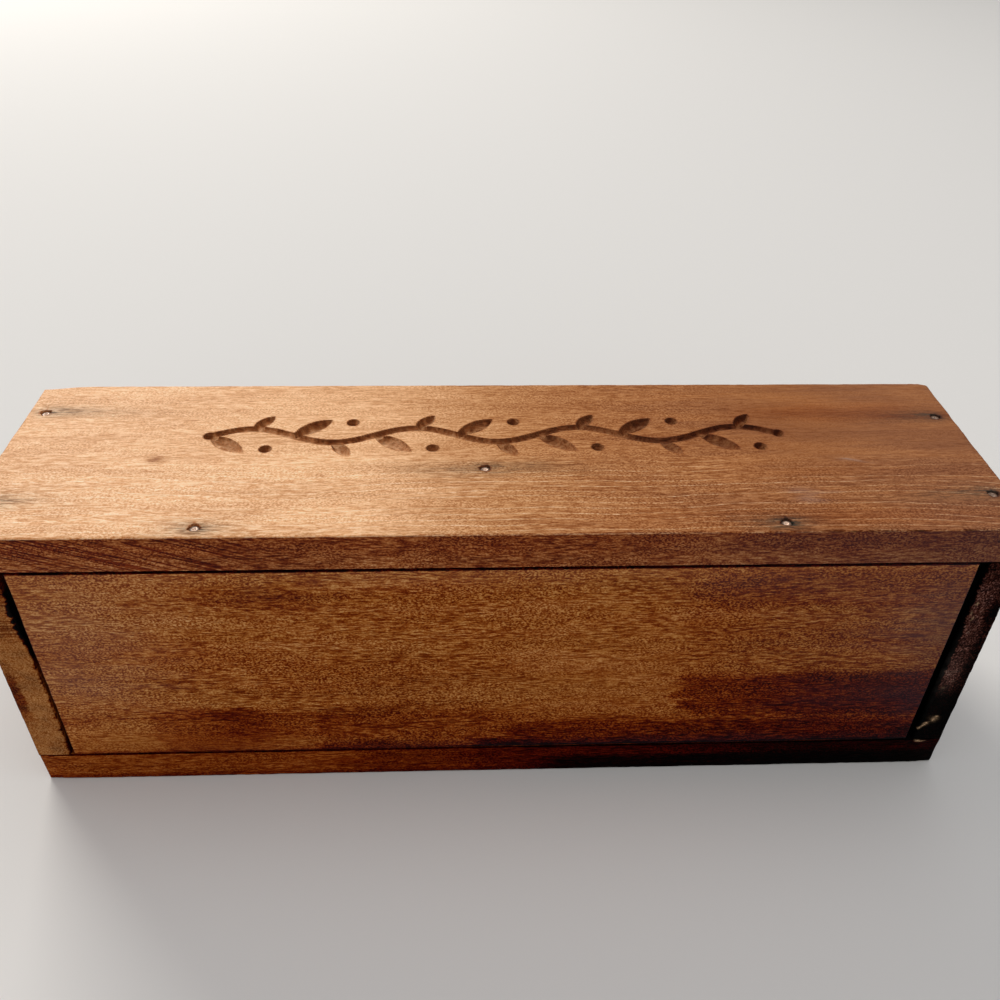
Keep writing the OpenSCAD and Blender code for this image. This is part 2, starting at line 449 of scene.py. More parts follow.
def scooped(inside, deep, wall):
    """Depth of a groove: steep for the first stretch wall, then flattening to deep."""
    share = np.clip(inside / wall, 0, 1)
    return deep * (1 - (1 - share) ** 2)


def vine_depth(x, y):
    """Depth of the carving at each point, the deepest of the forms there, with tool marks."""
    stem, leaf, berry, vein = vine_forms(x, y)
    floor_of_leaf = scooped(leaf, CARVE_DEPTH, 1.9 * MM) - VEIN_DEPTH * vein
    depth = np.maximum(scooped(stem, STEM_DEPTH, 1.2 * MM), floor_of_leaf)
    depth = np.maximum(depth, scooped(berry, CARVE_DEPTH, 1.5 * MM))
    chatter = 0.12 * MM * clouds(x, y, 1.5, 1.2, 31)
    return depth + chatter * (depth > 0.5 * MM)


print("vine length, mm:", round(VINE_BENDS * VINE_PITCH / MM))

# %% [markdown]
# Each nail was punched a little below the wood, and the punch tore a ragged hole round its
# head. The nails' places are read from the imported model, where each one's head is a small
# cluster of points at one height: the clusters are split wherever the sorted x, then the
# sorted y, jumps by more than a head's width.

# %% Where the nails stand
HEAD_GAP = 6 * MM


def clusters(values):
    """Labels 0, 1, 2... for values that lie in groups more than a head's width apart."""
    order = np.argsort(values)
    jumps = np.concatenate([[0], np.diff(values[order]) > HEAD_GAP]).cumsum()
    labels = np.empty(len(values), int)
    labels[order] = jumps
    return labels


def nail_places(node, heads_up):
    """The middle of each nail's head in a CAD node, as rows of (x, y), and the heads' height."""
    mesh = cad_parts[node].data
    points = np.empty(len(mesh.vertices) * 3)
    mesh.vertices.foreach_get("co", points)
    points = points.reshape(-1, 3)
    top = points[:, 2].max() if heads_up else points[:, 2].min()
    head = points[np.abs(points[:, 2] - top) < 0.05 * MM]
    found = []
    column = clusters(head[:, 0])
    for x_label in np.unique(column):
        part = head[column == x_label]
        row = clusters(part[:, 1])
        for y_label in np.unique(row):
            spot = part[row == y_label]
            found.append((spot.min(0) + spot.max(0))[:2] / 2)
    return np.array(found), float(top)


FRONT_NAILS = ["front_end_nails", "front_bottom_nails", "front_divider_nail"]
BACK_NAILS = ["back_end_nails", "back_bottom_nails", "back_divider_nail"]
front_nails = np.concatenate([nail_places(node, True)[0] for node in FRONT_NAILS])
back_nails = np.concatenate([nail_places(node, False)[0] for node in BACK_NAILS])
print("nails through the front board:", len(front_nails), "and the back board:", len(back_nails))

# %% Torn holes round the nail heads
HOLE_RADIUS = 1.58 * MM
HOLE_DEPTH, HOLE_WALL = 1.9 * MM, 0.45 * MM
ALONG_GRAIN = 1.12


def hole_edge(x, y, nails, seed):
    """The distance to the outline of the nearest torn hole, positive inside.

    A hole is a circle whose radius wanders with the angle round it, longer along the grain.
    """
    nearest = np.full(x.shape, -1.0)
    for number, (nail_x, nail_y) in enumerate(nails):
        off_x, off_y = (x - nail_x) / ALONG_GRAIN, y - nail_y
        angle = np.arctan2(off_y, off_x)
        ragged = 0.1 * np.sin(3 * angle + seed + number) + 0.07 * np.sin(7 * angle + 2 * number)
        nearest = np.maximum(nearest, HOLE_RADIUS * (1 + ragged) - np.hypot(off_x, off_y))
    return nearest


def drawn_to_outline(x, y, edge, reach):
    """Moves grid points that lie within reach of an outline onto it, so that it stays crisp.

    The way to the outline is the gradient of the distance, taken by small differences.
    """
    small = 0.02 * MM
    away = edge(x, y)
    slope_x = (edge(x + small, y) - edge(x - small, y)) / (2 * small)
    slope_y = (edge(x, y + small) - edge(x, y - small)) / (2 * small)
    size = np.maximum(np.hypot(slope_x, slope_y), 0.3)
    step = np.where(np.abs(away) < reach, -away / size, 0)
    return x + step * slope_x / size, y + step * slope_y / size


print("torn holes across, mm:", round(2 * HOLE_RADIUS / MM, 1))

# %% [markdown]
# Stained wood is built up the way it grew and the way it was finished. A solid pattern in
# the board's own coordinates gives the yearly rings and the fibres, so a sawn face shows
# long streaks and a sawn end shows specks, from the same formula. A picture laid on each
# face would have to be unwrapped, and its grain would break off at every edge. Over the
# wood lies the stain, which soaks in unevenly, and over that the marks of use: grey iron
# stain round the nails, scorched carving and worn edges, which each board carries as values
# on its points. The stain and scorch values also carry painted shade, in the seams and gaps
# between boards and on groove walls turned from the lamp.

# %% Small helpers for shader nodes
# The scorch colour also darkens the painted shade in the grooves and one seam.
SCORCH_AND_SHADE = (0.030, 0.013, 0.006, 1)
IRON = (0.035, 0.045, 0.034, 1)
COOL = (0.03, 0.02, 0.028, 1)
DUST = (0.42, 0.35, 0.31, 1)
BARE = (0.74, 0.47, 0.27, 1)
MARKS = ("tone", "coarse", "line", "soak", "iron", "cool", "burn", "worn", "dust", "saw")
MIDDLE_TONE = 0.5


def blank_marks(points):
    """Every mark at zero for each point, but the tone in the middle of its range."""
    marks = SimpleNamespace(**{name: np.zeros(len(points)) for name in MARKS})
    marks.tone += MIDDLE_TONE
    return marks


def feed(node, inputs):
    """Fills a shader node's inputs: a socket is linked, anything else is a value."""
    for key, value in inputs.items():
        if isinstance(value, bpy.types.NodeSocket):
            node.id_data.links.new(value, node.inputs[key])
        else:
            node.inputs[key].default_value = value


def put(tree, kind, inputs=None, **settings):
    """Adds a shader node with its settings, and feeds its inputs."""
    made = tree.nodes.new(kind)
    for key, value in settings.items():
        setattr(made, key, value)
    feed(made, inputs or {})
    return made


def maths(operation, *values, clamp=False, kind="ShaderNodeMath"):
    """The result of one Math node, in the tree that the sockets among the values belong to."""
    tree = next(value.id_data for value in values if isinstance(value, bpy.types.NodeSocket))
    made = put(tree, kind, dict(enumerate(values)), operation=operation)
    if clamp:
        made.use_clamp = True
    return made.outputs["Value" if operation == "LENGTH" else 0]


def vectors(operation, *values):
    """The result of one Vector Math node, which does the same to three numbers at once."""
    return maths(operation, *values, kind="ShaderNodeVectorMath")


def times(first, second, clamp=False):
    """The product of two values."""
    return maths("MULTIPLY", first, second, clamp=clamp)


def times_plus(first, second, third, clamp=False):
    """The product of the first two values, plus the third."""
    return maths("MULTIPLY_ADD", first, second, third, clamp=clamp)


def between(value, low, high, to_low=0.0, to_high=1.0):
    """A value mapped smoothly from low..high onto to_low..to_high."""
    inputs = {"Value": value, "From Min": low, "From Max": high, "To Min": to_low, "To Max": to_high}
    return put(value.id_data, "ShaderNodeMapRange", inputs, interpolation_type="SMOOTHSTEP").outputs[0]


def blended(share, first, second):
    """Two colours mixed by a share from 0 to 1."""
    inputs = {0: share, 6: first, 7: second}
    return put(share.id_data, "ShaderNodeMix", inputs, data_type="RGBA").outputs[2]


def streaks(place, size, detail=3.0, roughness=0.6, distortion=0.0):
    """Noise from 0 to 1 whose grains have the given size in mm along x, y and z."""
    inputs = {
        "Vector": vectors("MULTIPLY", place, tuple(1 / s for s in size)), "Scale": 1.0,
        "Detail": detail, "Roughness": roughness, "Distortion": distortion,
    }
    return put(place.id_data, "ShaderNodeTexNoise", inputs).outputs["Fac"]


def scaled(vector, share):
    """A place or a colour times one value."""
    inputs = {0: vector, "Scale": share}
    return put(share.id_data, "ShaderNodeVectorMath", inputs, operation="SCALE").outputs[0]


def bumps(height, strength, distance):
    """The normals of a surface that rises and falls by height, up to a distance in metres."""
    inputs = {"Strength": strength, "Distance": distance, "Height": height}
    return put(height.id_data, "ShaderNodeBump", inputs).outputs[0]


def new_finish(name, turn=(0, 0, 0)):
    """A new material, its tree and shader, and the place on the board or nail in mm."""
    made = bpy.data.materials.new(name)
    made.use_nodes = True
    tree = made.node_tree
    raw = put(tree, "ShaderNodeTexCoord").outputs["Object"]
    in_mm = {"Vector": raw, "Rotation": turn, "Scale": (1 / MM,) * 3}
    place = put(tree, "ShaderNodeMapping", in_mm).outputs[0]
    return made, tree, tree.nodes["Principled BSDF"], place


print("marks on each point:", ", ".join(MARKS))

# %% The stained wood
YEAR_BEND, YEAR_WAVER = 16.0, 1.8
KERF_LEAN = -0.33
KERF_THIRST, SOAK_POWER = 0.9, 2.4
BRIGHTEST = 0.97


def wood(name, grain, shades, heart, ring, fleck, glint, gloss, level, lines=0.2):
    """Stained wood as a solid pattern, with the marks that the board's points carry.

    grain is the axis that the fibres follow. shades are the stained colours from dark to
    pale, evenly spaced. heart is the tree's centre in mm across the grain, ring the mean
    width of a year, and lines how pale the thin late-wood lines are. fleck is how unevenly
    the fibres drink the dye and glint how unevenly a painted sheen brightens them. gloss is
    the mean roughness and level the strength of the reflections.
    """
    turn = (0, 0, math.pi / 2) if grain == "y" else (0, 0, 0)
    made, tree, shader, place = new_finish(name, turn)

    def mark(mark_name):
        """One of the values that the board's points carry."""
        return put(tree, "ShaderNodeAttribute", attribute_name=mark_name).outputs["Fac"]

    # The years are shells round the heart, bent by slow noise along the board.
    bend = streaks(place, (95, 60, 60), 1.0)
    waver = streaks(place, (18, 8, 8), 1.0)
    across = vectors("MULTIPLY", vectors("ADD", place, (0, -heart[0], -heart[1])), (0, 1, 1))
    distance = vectors("LENGTH", across)
    bent = times_plus(bend, YEAR_BEND, distance)
    bent = times_plus(waver, YEAR_WAVER, bent)
    year = maths("FRACT", maths("DIVIDE", bent, ring))
    late = times(between(year, 0.50, 0.92), between(year, 1.0, 0.95))
    thin = times(between(year, 0.40, 0.47), between(year, 0.59, 0.51))

    # The fibres wave a little, from long soft streaks to dashes and pores. In some patches
    # the dashes show more and in others the pores.
    swayed = vectors("ADD", place, scaled((0, 1.6, 1.6), streaks(place, (9, 3, 3), 1.0)))
    soft = streaks(swayed, (45, 5, 5), 2.0)
    fibre = between(streaks(swayed, (4.2, 0.55, 0.55), 2.0), 0.36, 0.64)
    pore = between(streaks(swayed, (0.75, 0.42, 0.42), 1.0), 0.36, 0.64)
    blotch = streaks(place, (60, 18, 18), 3.0, 0.55, 0.4)
    dashes = between(streaks(place, (26, 7, 7), 1.0), 0.40, 0.60, 0.25, 0.70)
    grained = times_plus(maths("SUBTRACT", fibre, pore), dashes, pore)
    dark_grain = maths("SUBTRACT", 0.5, grained)
    dark_grain = maths("MAXIMUM", dark_grain, times(dark_grain, 0.72))

    # The slow changes of colour come from a ramp of the board's own shades.
    tone = maths("SUBTRACT", mark("tone"), 0.375)
    tone = times_plus(blotch, 0.35, tone)
    tone = times_plus(soft, 0.4, tone)
    tone = times_plus(late, -0.05, tone, clamp=True)
    ramp = put(tree, "ShaderNodeValToRGB", {"Fac": tone})
    stops = ramp.color_ramp.elements
    for place_in_ramp, shade in zip(np.linspace(0, 1, len(shades))[1:-1], shades[1:-1]):
        stops.new(place_in_ramp).color = (*shade, 1)
    stops[0].color, stops[len(shades) - 1].color = (*shades[0], 1), (*shades[-1], 1)
    colour = ramp.outputs[0]

    # Saw marks slant across an edge as fine dark lines.
    leaned = put(tree, "ShaderNodeMapping", {"Vector": place, "Rotation": (0, KERF_LEAN, 0)}).outputs[0]
    kerf = between(streaks(leaned, (24, 24, 0.5), 1.0), 0.52, 0.60)

    # Dye that soaks in deeper colours the light again and again, which raises the colour to
    # a power: green and blue fall away faster than red. Thirsty fibres and saw marks take
    # more of it, late wood less. The stain value also carries painted shade in seams, gaps and
    # grooves. Thirsty fibres also shine less: a painted sheen that scales the colour.
    patchy = between(streaks(place, (140, 3.5, 3.5), 1.0), 0.32, 0.50)
    pale_line = times(times(thin, patchy), mark("line"))
    grip = maths("ADD", mark("coarse"), 1.0)
    drunk = times_plus(times(dark_grain, grip), fleck, 1.0)
    drunk = times_plus(pale_line, -lines, drunk)
    drunk = times_plus(times(kerf, mark("saw")), KERF_THIRST, drunk)
    power = times_plus(mark("soak"), SOAK_POWER, 1.0)
    power = times(power, drunk)
    colour = put(tree, "ShaderNodeGamma", {"Color": colour, "Gamma": power}).outputs[0]
    shine = times(dark_grain, maths("MINIMUM", grip, 1.0))
    shine = times_plus(shine, -glint, 1.0)
    colour = vectors("MINIMUM", scaled(colour, shine), (BRIGHTEST,) * 3)

    # Iron round the nails, a violet cast, bare worn wood, dust, and the scorch of the router,
    # which also carries painted shade in the grooves and one seam.
    iron = times(mark("iron"), between(fibre, 0.0, 1.0, 1.15, 0.6))
    worn = times(mark("worn"), between(pore, 0.2, 0.9, 0.5, 1.2))
    char_and_shade = times_plus(maths("SUBTRACT", pore, 0.5), 0.35, mark("burn"))
    char_and_shade = times(char_and_shade, maths("GREATER_THAN", mark("burn"), 0.02), clamp=True)
    layers = [(iron, IRON), (mark("cool"), COOL), (worn, BARE), (mark("dust"), DUST), (char_and_shade, SCORCH_AND_SHADE)]
    for share, layer in layers:
        colour = blended(share, colour, layer)

    rough = between(fibre, 0.0, 1.0, gloss + 0.08, gloss - 0.06)
    rough = times_plus(mark("burn"), 0.4, rough, clamp=True)
    bump = bumps(times_plus(pore, 0.6, fibre), 0.4, 0.1 * MM)
    feed(shader, {"Base Color": colour, "Roughness": rough, "Normal": bump, "Specular IOR Level": level})
    print(f"{name}: {len(tree.nodes)} shader nodes")
    return made


# %% [markdown]
# The stain is darkest where it pooled and could not be wiped away. Such pools are soft
# ellipses on a face, their strength falling off like a bell, with outlines that fray along
# the grain. Each board lists its own few, in millimetres.

# %% Pools of stain


def ellipses(a, b, spots):
    """The sum of soft ellipses: each spot is (middle a, middle b, half a, half b, strength)."""
    return sum(
        strength * bell(a - middle_a, half_a) * bell(b - middle_b, half_b)
        for middle_a, middle_b, half_a, half_b, strength in spots
    )


def pools(a, b, spots, seed):
    """Soft ellipses whose places are first shifted by noise, long along a and short along b."""
    frayed_a = a / MM + 9 * clouds(a, b, 14, 1.4, seed)
    return ellipses(frayed_a, b / MM + 1.6 * clouds(a, b, 9, 3.5, seed + 1), spots)


def strips(a, b, rows, seed):
    """The sum of stained strips: each is (left, right, low, high, strength), in mm.

    The outlines fray along a and waver across b, and fade over a few millimetres.
    """
    frayed_a = a / MM + 5 * clouds(a, b, 7, 1.3, seed)
    frayed_b = b / MM + 1.7 * clouds(a, b, 10, 3, seed + 1)
    total = np.zeros(a.shape)
    for left, right, low, high, strength in rows:
        long = span(frayed_a, left - 2.5, left + 2.5, right - 9, right + 9)
        total += strength * long * span(frayed_b, low - 1.8, low + 1.8, high - 1.8, high + 1.8)
    return total


def spots_of(a, b, spots):
    """Small soft ellipses, with outlines that barely fray."""
    bent_a = a / MM + 0.9 * clouds(a, b, 2.2, 1.4, 77)
    return ellipses(bent_a, b / MM + 0.7 * clouds(a, b, 2.4, 1.6, 78), spots)


def nail_stain(x, y, nails, sides):
    """Grey streaks along the grain from each nail: sides says how far to -x and +x, in mm."""
    total = np.zeros(x.shape)
    for number, ((nail_x, nail_y), (left, right)) in enumerate(zip(nails, sides)):
        along = x - nail_x
        drifted = y - nail_y - 0.6 * MM * np.sin(number + along / (8 * MM))
        reach = np.where(along < 0, left, right) * MM
        total += 0.46 * bell(along, reach) * hump(drifted, 0, 3.4)
        total += 0.24 * hump(along, 0, 4.5) * hump(drifted, 0, 2.4)
    frayed = 1 + 0.35 * clouds(x, y, 6, 0.9, 14)
    return np.clip(total * frayed, 0, 1)


print("a pool of strength 0.5, at its middle:", ellipses(0, 0, [(0, 0, 1, 1, 0.5)]))

# %% [markdown]
# The carved front board is the piece that shows most. Its upper face has a fine grid over
# the vine and round each nail, a coarser one elsewhere, and its grid points beside an
# outline are drawn onto it. The far left corner was sanded away by hand, further than the
# right one, so the rim draws back there, towards the camera.

# %% The carved front board
FINE = 0.38 * MM
NAIL_HALF, VINE_HALF = 1.9 * MM, 11.8 * MM
OUTLINE_REACH, ON_OUTLINE, RIM_HALF = 0.2 * MM, 0.04 * MM, 0.3 * MM
RIM_CLEAR, RIM_CORNER = 2 * MM, 2.5 * MM
SANDED_LONG, SANDED_DEEP = 15 * MM, 1.9 * MM
# The carved face pales towards its left end from wear and from a painted sheen.
FADE_AND_SHEEN_START, FADE_AND_SHEEN_SOFT, FADE_AND_SHEEN_LONG = 36 * MM, 7 * MM, 64 * MM
SIDE_TONE = 0.42
FRONT_TEARS, BACK_TEARS = 5, 9
FRONT_STAIN_RUNS = [(3, 14), (3, 26), (26, 3), (20, 3), (9, 10), (14, 7), (24, 26)]
FRONT_POOLS = [
    (114, 22, 28, 5.0, 0.10), (140, 20, 12, 2.2, 0.16), (128, -22, 16, 3.0, 0.06),
    (98, -34, 60, 5.0, 0.07), (112, -12, 40, 4.0, 0.03),
]
# The spot at (2, 37) darkens the far middle of the carved face, beyond the painted sheen: painted shade.
FRONT_SPOTS = [
    (-105, -3.2, 2.2, 1.8, -0.55), (-105, -3, 4.0, 2.6, -0.12), (-54, -12, 3.2, 1.2, -0.26),
    (-58, -13.5, 1.4, 0.8, -0.20), (-110, 24, 34, 3.0, -0.06), (-146, -20, 14, 1.2, -0.12),
    (-95, 1, 3.0, 0.8, -0.12), (2, 37, 18, 6, -0.05),
]
FRONT_DUST = [(88, -25, 5.5, 1.8, 0.16), (93, -22.5, 4, 1.0, 0.14), (112, -6.5, 4, 0.5, 0.45)]


def rim_corners(points, low, high, sanded):
    """Rounds a long board's two corners beside the open side, and sands the left one away.

    At a distance d from the end, the rim draws back by r - sqrt(r^2 - (r - d)^2).
    """
    left, right = points[:, 0] - low[0], high[0] - points[:, 0]
    into = np.clip(RIM_CORNER - np.minimum(left, right), 0, RIM_CORNER)
    back = RIM_CORNER - np.sqrt(RIM_CORNER**2 - into**2)
    back = np.maximum(back, sanded * (1 - ease_in(left, 0, SANDED_LONG)))
    up = np.clip((points[:, 1] - low[1]) / (high[1] - low[1]), 0, 1)
    points[:, 1] -= back * up**5
    return points


def fade_and_painted_sheen(x):
    """How worn and pale the carved face is, with the lamp's sheen on its left end painted in:
    0.94 at its left, about a quarter at its right.

    It falls as exp(-d / 64 mm) with the distance d past a line, which is passed softly, and
    rises a little again near the right end.
    """
    past = FADE_AND_SHEEN_SOFT * np.log1p(np.exp(np.clip((x + FADE_AND_SHEEN_START) / FADE_AND_SHEEN_SOFT, -30, 30)))
    return 0.18 + 0.76 * np.exp(-past / FADE_AND_SHEEN_LONG) + 0.04 * rise(x, 80, 120)


def front_outlines(x, y):
    """The distance to the nearest outline of the vine or of a torn hole, positive inside."""
    return np.maximum(vine_edge(x, y), hole_edge(x, y, front_nails, FRONT_TEARS))


def front_face_marks(marks, face, x, y):
    """Fills in the carved face's marks: fade, painted sheen, lines, scorch, painted shade, iron, stain,
    dust.

    Points drawn onto an outline count as cut, so that its dark rim has no gaps. Groove walls
    that face right or near get painted shade, and walls facing the light are painted lighter.
    """
    edge = vine_edge(x, y)
    hole = hole_edge(x, y, front_nails, FRONT_TEARS)
    cut, punched = edge > -ON_OUTLINE, hole > -ON_OUTLINE
    near_half = rise(-y, -8, 20)
    marks.tone[face] = fade_and_painted_sheen(x) + spots_of(x, y, FRONT_SPOTS)
    marks.coarse[face] = 0.5 * near_half * (1 - 0.6 * rise(x, -70, 0))
    marks.coarse[face] -= (0.30 + 0.35 * (1 - near_half)) * rise(x, 50, 100)
    marks.line[face] = rise(-y, -2, 16) * (0.55 + 0.45 * rise(x, -60, 0))
    # Painted shade and light: groove walls that face away from the back left lamp are darkened, those
    # that face it lightened. With the dark rim and router scorch this darkens the tone, scorch and stain
    # below, and the pale dust on the floors is kept off the shaded walls.
    small = 0.05 * MM
    slope = vine_depth(x + small, y) - vine_depth(x - small, y)
    slope += vine_depth(x, y - small) - vine_depth(x, y + small)
    shaded, lit = np.clip(slope / (4 * small), 0, 1), np.clip(-slope / (4 * small), 0, 1)
    rim = 0.5 * bell(edge, RIM_HALF)
    groove_scorch_and_shade = 0.85 * shaded - 0.30 * lit + rim + 0.38 * clouds(x, y, 1.3, 1.0, 41)
    groove_scorch_and_shade = np.clip(groove_scorch_and_shade, 0, 1) * cut
    marks.tone[face] *= np.where(cut, 0.92 - 0.48 * groove_scorch_and_shade, 1)
    carved = (0.12 + 0.22 * rise(x, 30, 90)) * groove_scorch_and_shade**2 + 0.24 * rim * ~cut
    torn = np.where(punched, 0.40, 0.25 * np.exp(np.clip(hole, None, 0) / (0.25 * MM)))
    marks.burn[face] = (0.04 + 0.44 * groove_scorch_and_shade**2) * cut + 0.15 * punched
    marks.iron[face] = nail_stain(x, y, front_nails, FRONT_STAIN_RUNS)
    marks.cool[face] = 0.04 * rise(x, 60, 130)
    marks.soak[face] = pools(x, y, FRONT_POOLS, 15) + np.maximum(carved, torn)
    marks.dust[face] = pools(x, y, FRONT_DUST, 17) + 0.028 * rise(x, 95, 130)
    marks.dust[face] += 0.06 * fade_and_painted_sheen(x) * cut * (1 - 0.8 * groove_scorch_and_shade)


def front_shape(points, normals):
    """Carves, punches and wears the front board, and gives its marks."""
    points = rim_corners(points, front_low, front_high, SANDED_DEEP)
    points = chipped(points, normals, 0.22, 5, 11)
    _, to_y, to_z = normals.T
    face = to_z > FLAT
    x, y = points[face, 0], points[face, 1]
    inner = (np.abs(x) < front_high[0] - RIM_CLEAR) & (np.abs(y) < front_high[1] - RIM_CLEAR)
    drawn_x, drawn_y = drawn_to_outline(x, y, front_outlines, OUTLINE_REACH)
    x, y = np.where(inner, drawn_x, x), np.where(inner, drawn_y, y)
    punched = scooped(hole_edge(x, y, front_nails, FRONT_TEARS), HOLE_DEPTH, HOLE_WALL)
    points[face, 0], points[face, 1] = x, y
    points[face, 2] -= np.maximum(vine_depth(x, y), punched)

    marks = blank_marks(points)
    across = points[:, 0]
    marks.tone[:] = np.where(to_z > 0.5, fade_and_painted_sheen(across), SIDE_TONE)
    marks.coarse[:] = 1.1
    marks.soak[:] = 0.15
    front_face_marks(marks, face, x, y)
    near = (to_y < -LEANING) & (to_z < 0.5)
    along, height = across[near], points[near, 2]
    uneven = 0.05 * clouds(along, height, 20, 5, 51)
    uneven += 0.03 * clouds(along, height, 5, 2, 52)
    golden = hump(along, -35, 9)
    upper = rise(height, 97, 100)
    marks.tone[near] += 0.05 * golden + 0.05 * (1 - rise(along, -105, -60))
    marks.soak[near] = 0.15 + 0.10 * upper - 0.03 * golden + uneven
    cast = 0.02 + 0.28 * rise(along, 20, 85) + 0.22 * rise(along, 70, 145)
    marks.cool[near] = cast
    marks.saw[near] = 0.75 * (1 - rise(along, -85, -55)) + 0.15
    hidden = (to_y > -LEANING) & (to_z < 0.5)
    marks.tone[hidden] += 0.12
    arris = (to_z > ARRIS) & (to_z < 0.95) & (to_y < -ARRIS)
    rubbed = 0.35 * (1 - rise(across, -40, 90)) + 0.2 * drift(across, 3, 53)
    marks.soak[arris] = 0.1
    marks.worn[arris] = np.clip(rubbed, 0, 1)[arris]
    black = ease_in(drift(across, 2.2, 54), 0.2, 0.7) * rise(across, 70, 110)
    marks.burn[arris] = (0.8 * black)[arris]
    # Painted shade: the lower near edge, in the seam above the panel, is darkened through the stain and
    # scorch values.
    under = (to_z < -ARRIS) & (to_y < -ARRIS)
    marks.soak[under] = 1.2
    marks.burn[under] = 0.3 * rise(across, 20, 100)[under]
    return points, marks


def nail_zones(nails, axis):
    """The zones round the nails, where the places along one axis are close."""
    return [(spot[axis] - NAIL_HALF, spot[axis] + NAIL_HALF, FINE) for spot in nails]


vine_zone_x = (vine_start - 2.5 * MM, -vine_start + 2.5 * MM, FINE)
vine_zone_y = (vine_middle - VINE_HALF, vine_middle + VINE_HALF, FINE)
spot_zone_x, spot_zone_y = (-108 * MM, -102 * MM, 0.8 * MM), (-6 * MM, 0, 0.8 * MM)
FRONT_SHADES = [
    (0.195, 0.062, 0.021), (0.285, 0.102, 0.036), (0.395, 0.150, 0.049),
    (0.535, 0.238, 0.090), (0.715, 0.368, 0.169), (0.935, 0.535, 0.280),
]
front_wood = wood(
    "front_stain", "x", shades=FRONT_SHADES, heart=(-260, 40), ring=2.5,
    fleck=0.50, glint=0.46, lines=0.35, gloss=0.42, level=0.06,
)
board(
    "front_board", "front_board_carved", front_wood, "x", front_shape,
    under=[12 * MM], over=[2.4 * MM, vine_zone_y, spot_zone_y, *nail_zones(front_nails, 1)],
    sides=[2.2 * MM], along=[2.4 * MM, vine_zone_x, spot_zone_x, *nail_zones(front_nails, 0)],
)

# %% [markdown]
# The back board carries the whole box. Nobody sees its outer face in use, so it has only its
# nail holes and eased edges. Its lower right corner, nearest the camera, is knocked about.

# %% The back board
back_low, back_high = corners_of("back_board")
KNOCKED_HALF = 9 * MM
KNOCKED_RIGHT, KNOCKED_LEFT, KNOCKED_IN = 0.4 * MM, 0.9 * MM, 0.4 * MM
BACK_CHIPS = [(144.2, 11.5, 0.5, 0.3, 0.9), (145.5, 11.1, 0.7, 0.25, 0.9)]
BACK_STAIN_RUNS = [(14, 9), (8, 20), (20, 6), (16, 5), (10, 12), (14, 7), (18, 20)]


def back_shape(points, normals):
    """Punches and wears the back board, and gives its marks."""
    points = rim_corners(points, back_low, back_high, 0)
    points = chipped(points, normals, 0.35, 6, 21)
    to_x, to_y, to_z = normals.T
    right = ease_in(points[:, 0], back_high[0] - KNOCKED_HALF, back_high[0])
    left = ease_in(-points[:, 0], back_high[0] - KNOCKED_HALF, back_high[0])
    front_half = ease_in(-points[:, 1], back_high[1] - 2 * KNOCKED_HALF, back_high[1])
    lower = 1 - 0.7 * points[:, 2] / back_high[2]
    points[:, 0] += (KNOCKED_LEFT * left - KNOCKED_RIGHT * right) * front_half * lower
    points[:, 1] += KNOCKED_IN * (left + right) * front_half
    face = to_z < -FLAT
    x, y = points[face, 0], points[face, 1]
    hole = hole_edge(x, y, back_nails, BACK_TEARS)
    points[face, 2] += scooped(hole, HOLE_DEPTH, HOLE_WALL)

    marks = blank_marks(points)
    marks.line[:] = 0.5
    marks.soak[:] = 0.15
    marks.burn[face] = np.where(hole > 0, 0.95, 0.45 * np.exp(np.clip(hole, None, 0) / (0.3 * MM)))
    marks.iron[face] = nail_stain(x, y, back_nails, BACK_STAIN_RUNS)
    near = to_y < -LEANING
    along, height = points[near, 0], points[near, 2]
    frayed = along + 12 * MM * clouds(along, height, 25, 3, 24)
    dark = 0.08 + 0.04 * rise(frayed, -115, -95)
    dark += 0.16 * rise(frayed, -62, -45) + 0.26 * rise(frayed, -15, 5)
    dark += 0.75 * rise(frayed, 5, 110)
    low = rise(-height, -8.5, -4.5) * rise(frayed, 8, 40)
    low += 0.25 * rise(-height, -3, -1)
    marks.soak[near] = dark + low
    marks.worn[near] = np.clip(spots_of(along, height, BACK_CHIPS), 0, 0.9)
    # Painted shade: the upper near edge, in the seam under the panel, and the top near the right corner,
    # seen through the gap there, are darkened through the stain value.
    marks.soak[(to_z > ARRIS) & near] += 0.8
    marks.cool[~near] = 0.08
    corner = (to_z > ARRIS) & (points[:, 0] > 130 * MM) & (points[:, 1] < -20 * MM)
    marks.soak[corner] = 3
    right_end = (to_x > LEANING) & ~near
    marks.soak[right_end] = (1.3 - 0.6 * rise(points[:, 1], -35, 10))[right_end]
    return points, marks


chip_zone_x, chip_zone_z = (142 * MM, 148 * MM, 0.3 * MM), (10 * MM, 12 * MM, 0.25 * MM)
BACK_SHADES = [(0.12, 0.022, 0.003), (0.31, 0.080, 0.011), (0.50, 0.17, 0.035)]
back_wood = wood(
    "back_stain", "x", shades=BACK_SHADES, heart=(30, 190), ring=4.0,
    fleck=0.8, glint=0.3, gloss=0.5, level=0.01,
)
board(
    "back_board", "back_board_worn", back_wood, "x", back_shape,
    under=[3 * MM, *nail_zones(back_nails, 1)], over=[3 * MM],
    sides=[1.2 * MM, chip_zone_z], along=[2 * MM, chip_zone_x, *nail_zones(back_nails, 0)],
)

# %% [markdown]
# The bottom board faces the camera. Its stain is uneven: brown on the left and in the
# middle, with darker bands, and nearly black low on the right.

